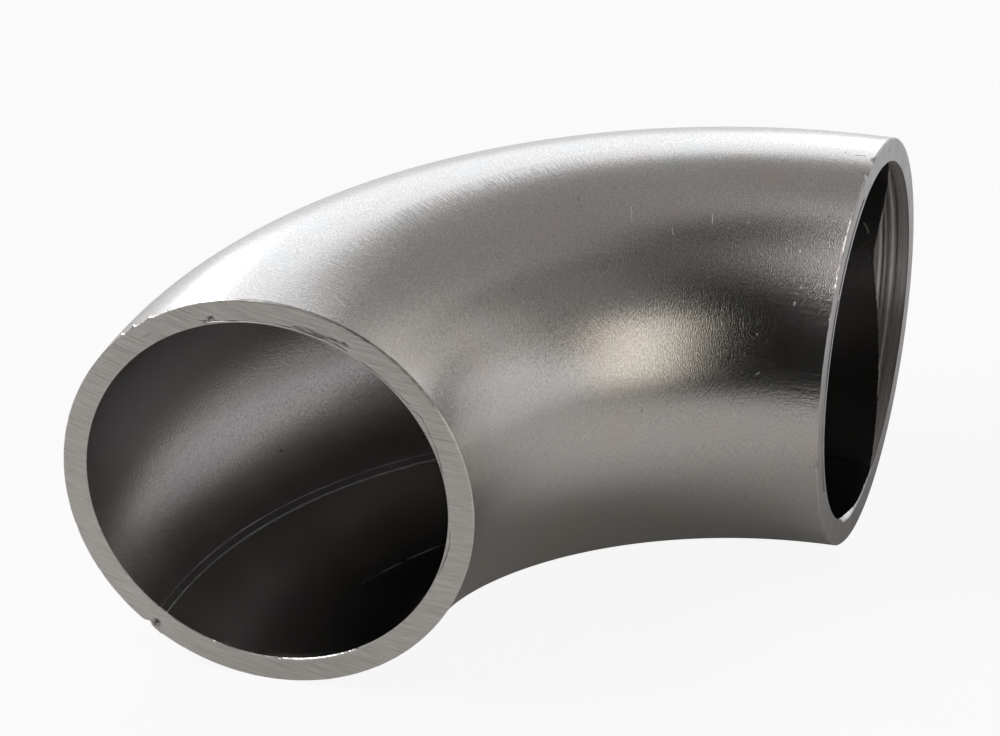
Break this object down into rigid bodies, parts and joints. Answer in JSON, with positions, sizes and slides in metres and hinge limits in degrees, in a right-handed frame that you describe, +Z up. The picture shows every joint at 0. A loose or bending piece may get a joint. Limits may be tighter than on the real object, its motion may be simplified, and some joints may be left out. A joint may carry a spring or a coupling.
{
  "type": "butt weld elbow",
  "caption": "Quarter-turn butt weld elbow bent from seam-welded stainless tube, with an open round bore and a square weld face at each end.",
  "frame": {"origin": "centre of the turned end's weld face, on the port's axis", "axes": "+X out of the turned end, -Y out of the sawn end, +Z up and square to the plane of the bend, with the elbow lying on its side"},
  "size_m": [0.08, 0.0799, 0.0482],
  "materials": {
    "steel": "satin, brushed across the bend, with a matt grain on the inside of the bend and bare cut ends"
  },
  "bodies": {
    "root": {"elbow": "steel"}
  },
  "joints": []
}
